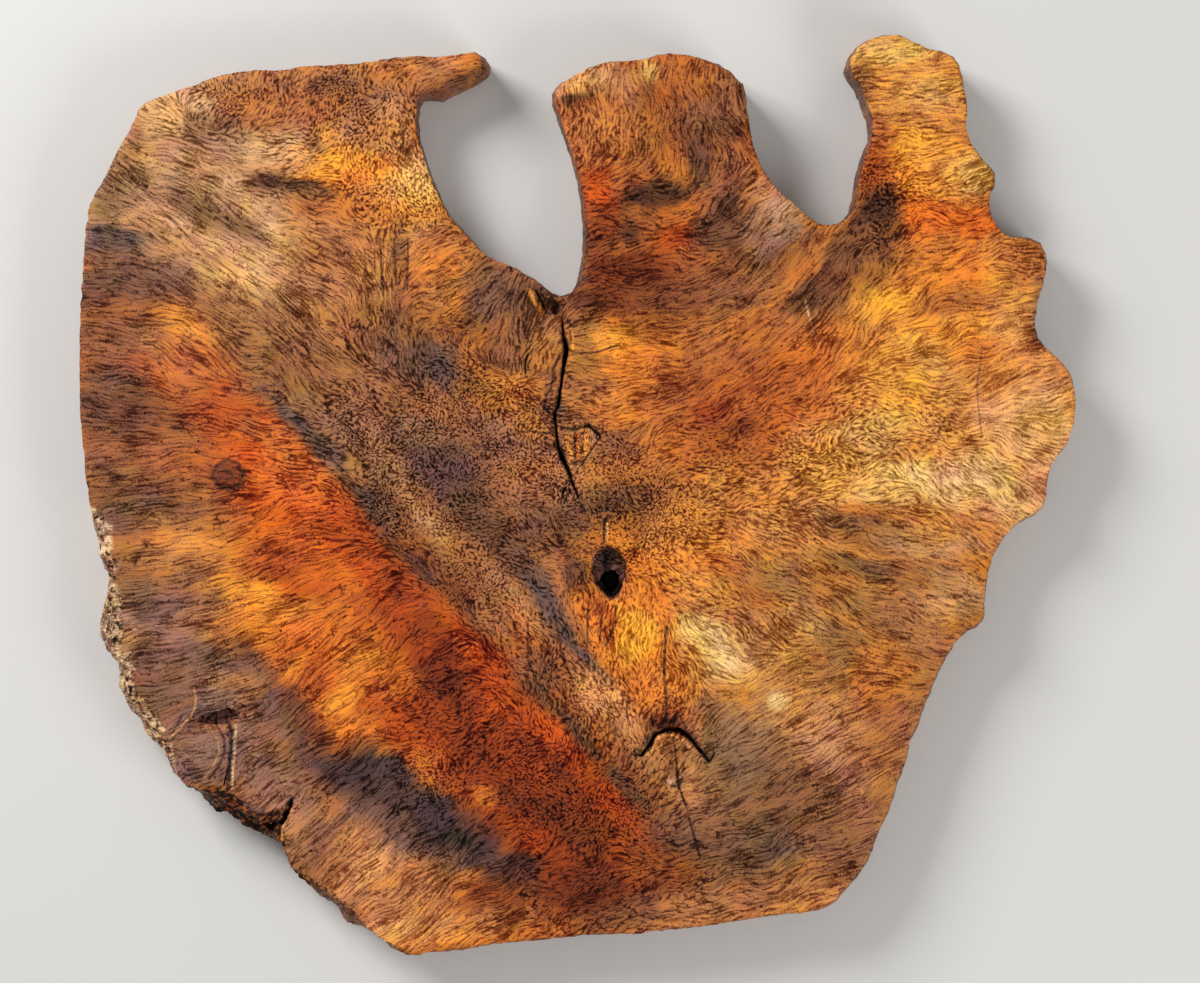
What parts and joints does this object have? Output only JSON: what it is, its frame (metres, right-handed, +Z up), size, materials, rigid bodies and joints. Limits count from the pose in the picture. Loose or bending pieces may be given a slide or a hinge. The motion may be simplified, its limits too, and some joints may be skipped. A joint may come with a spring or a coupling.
{
  "type": "myrtle burl slab",
  "caption": "Thick flat slice of myrtle burl with a lobed natural outline, a live edge, drying cracks and a small void; rests flat as a table top or display board.",
  "frame": {"origin": "on the sawn underside, below the middle of the slab's outline", "axes": "+X along the slab's longest side, +Y towards its three lobes, +Z up through the figured face"},
  "size_m": [0.7986, 0.7376, 0.05],
  "materials": {
    "oiled_burl": "satin oiled face with streaked orange, rust and grey-brown figure"
  },
  "bodies": {
    "root": {"burl_slab": "oiled_burl"}
  },
  "joints": []
}
